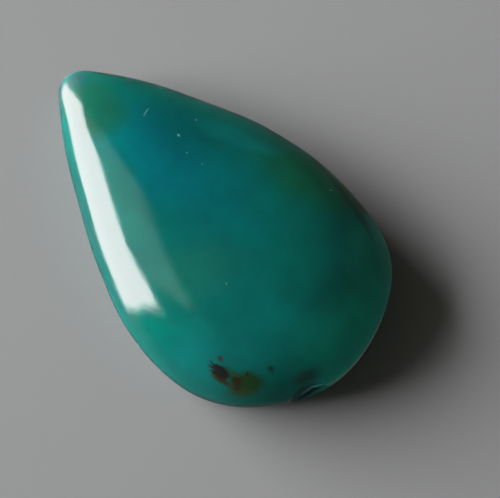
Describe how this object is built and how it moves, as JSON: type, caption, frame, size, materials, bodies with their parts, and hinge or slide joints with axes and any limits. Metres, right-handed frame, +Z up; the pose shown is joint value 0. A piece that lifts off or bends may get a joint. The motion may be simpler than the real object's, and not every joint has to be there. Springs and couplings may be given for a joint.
{
  "type": "gem silica cabochon",
  "caption": "Pear-shaped polished stone cabochon with a low dome, a thin upright girdle and a flat back, for setting in jewellery or showing loose.",
  "frame": {"origin": "on the resting surface, under the middle of the pear outline", "axes": "+Z up out of the dome, +X from the round end to the pointed tip, +Y across the stone; the flat back lies on z = 0"},
  "size_m": [0.0276, 0.0172, 0.0055],
  "materials": {
    "gem_silica": "polished translucent blue-green chalcedony"
  },
  "bodies": {
    "root": {"cabochon": "gem_silica"}
  },
  "joints": []
}
